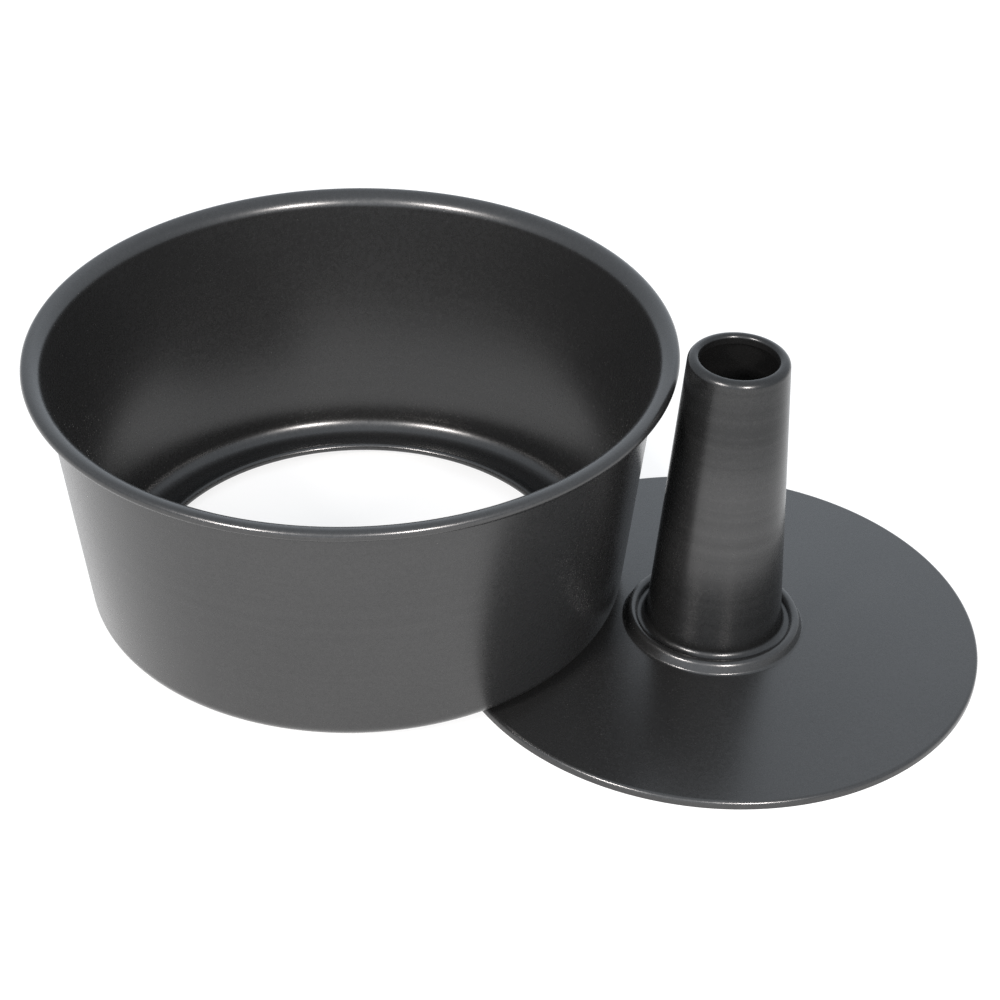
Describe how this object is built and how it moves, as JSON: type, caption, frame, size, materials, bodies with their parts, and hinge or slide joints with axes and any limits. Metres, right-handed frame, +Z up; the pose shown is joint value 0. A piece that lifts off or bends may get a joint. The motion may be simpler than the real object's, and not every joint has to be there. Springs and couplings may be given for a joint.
{
  "type": "angel food cake pan",
  "caption": "Round tapered pan ring with a rolled rim, standing beside its loose flat base with a tall centre tube.",
  "frame": {"origin": "middle of the footprint of the ring and the base together, on the surface they stand on", "axes": "+X from the pan ring to the centre tube, +Z up along the tube"},
  "size_m": [0.383, 0.254, 0.131],
  "materials": {
    "coated_steel": "satin dark grey non-stick coating",
    "wire_steel": "bright drawn wire"
  },
  "bodies": {
    "loose_base": {"base_plate": "coated_steel", "centre_tube": "coated_steel"},
    "ring": {"pan_ring": "coated_steel", "rim_wire": "wire_steel"}
  },
  "joints": [
    {"name": "ring_lift", "type": "slide", "parent": "loose_base", "child": "ring", "axis": [0, 0, 1], "range_m": [0, 0.14]}
  ]
}
